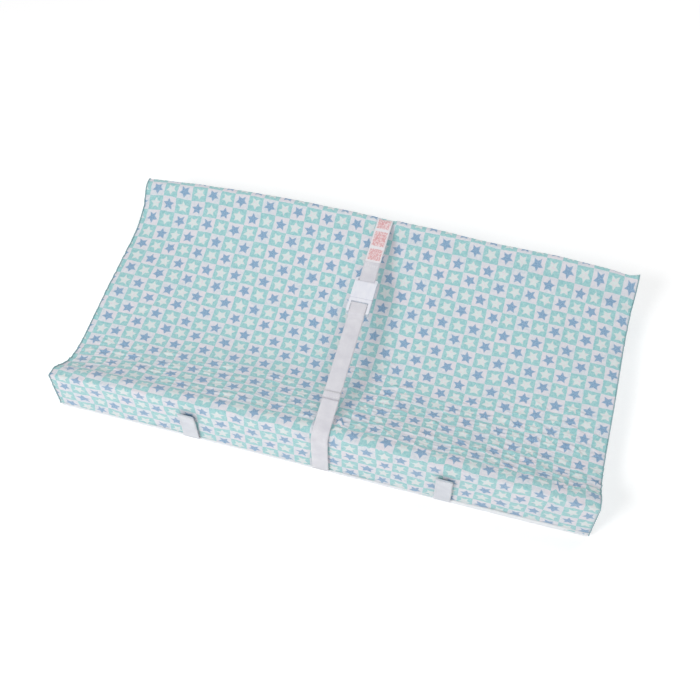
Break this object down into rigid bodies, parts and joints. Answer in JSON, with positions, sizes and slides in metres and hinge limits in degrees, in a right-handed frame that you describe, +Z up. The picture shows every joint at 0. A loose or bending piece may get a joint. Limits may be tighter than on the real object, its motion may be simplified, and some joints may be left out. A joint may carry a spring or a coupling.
{
  "type": "changing pad",
  "caption": "Contoured foam changing pad in a sewn printed cover, with a side-release safety belt across the trough and webbing anchor tabs on the front wall.",
  "frame": {"origin": "centre of the pad's underside, on the surface that it rests on", "axes": "+X along the pad's length; +Y from the low front crest, where the tabs are, to the higher rear crest; +Z up"},
  "size_m": [0.8136, 0.4116, 0.1153],
  "materials": {
    "foam": "open-cell polyurethane foam",
    "printed_cover": "white sheet printed with a checker of mint squares and blue and white stars, soft satin",
    "seam": "folded and stitched edge of the cover",
    "underside_sheet": "white coated non-slip sheet",
    "webbing": "white woven polypropylene webbing",
    "label": "white woven ribbon with rose blocks, no lettering",
    "thread": "white polyester sewing thread",
    "buckle_plastic": "smooth moulded acetal"
  },
  "bodies": {
    "pad": {"foam_core": "foam", "cover_top": "printed_cover", "left_end_panel": "printed_cover", "right_end_panel": "printed_cover", "left_end_seam": "seam", "right_end_seam": "seam", "bottom_panel": "underside_sheet", "bottom_seam": "seam", "rear_strap": "webbing", "rear_loop_stitches": "thread", "strap_label": "label", "front_strap": "webbing", "buckle_female": "buckle_plastic"},
    "buckle_insert": {"buckle_male": "buckle_plastic", "strap_tail": "webbing", "tail_hem_stitches": "thread"},
    "left_prong_arm": {"left_prong": "buckle_plastic"},
    "right_prong_arm": {"right_prong": "buckle_plastic"},
    "left_anchor_tab": {"left_tab": "webbing", "left_tab_stitches": "thread"},
    "right_anchor_tab": {"right_tab": "webbing", "right_tab_stitches": "thread"}
  },
  "joints": [
    {"name": "buckle_slide", "type": "slide", "parent": "pad", "child": "buckle_insert", "axis": [0.0222, -0.9997, -0.0079], "range_m": [0, 0.028], "deforming": ["left_prong", "right_prong"]},
    {"name": "left_prong_squeeze", "type": "hinge", "parent": "buckle_insert", "child": "left_prong_arm", "pos_m": [-0.00641, 0.04096, 0.10992], "axis": [-0.0002, 0.0079, -1], "range_deg": [0, 10.5], "stiffness_Nm_per_rad": 0.4},
    {"name": "right_prong_squeeze", "type": "hinge", "parent": "buckle_insert", "child": "right_prong_arm", "pos_m": [0.01358, 0.04141, 0.10992], "axis": [0.0002, -0.0079, 1], "range_deg": [0, 10.5], "stiffness_Nm_per_rad": 0.4},
    {"name": "left_tab_fold", "type": "hinge", "parent": "pad", "child": "left_anchor_tab", "pos_m": [-0.192, -0.2045, 0.0104], "axis": [1, 0, 0], "range_deg": [0, 90]},
    {"name": "right_tab_fold", "type": "hinge", "parent": "pad", "child": "right_anchor_tab", "pos_m": [0.192, -0.2045, 0.0104], "axis": [1, 0, 0], "range_deg": [0, 90]}
  ]
}
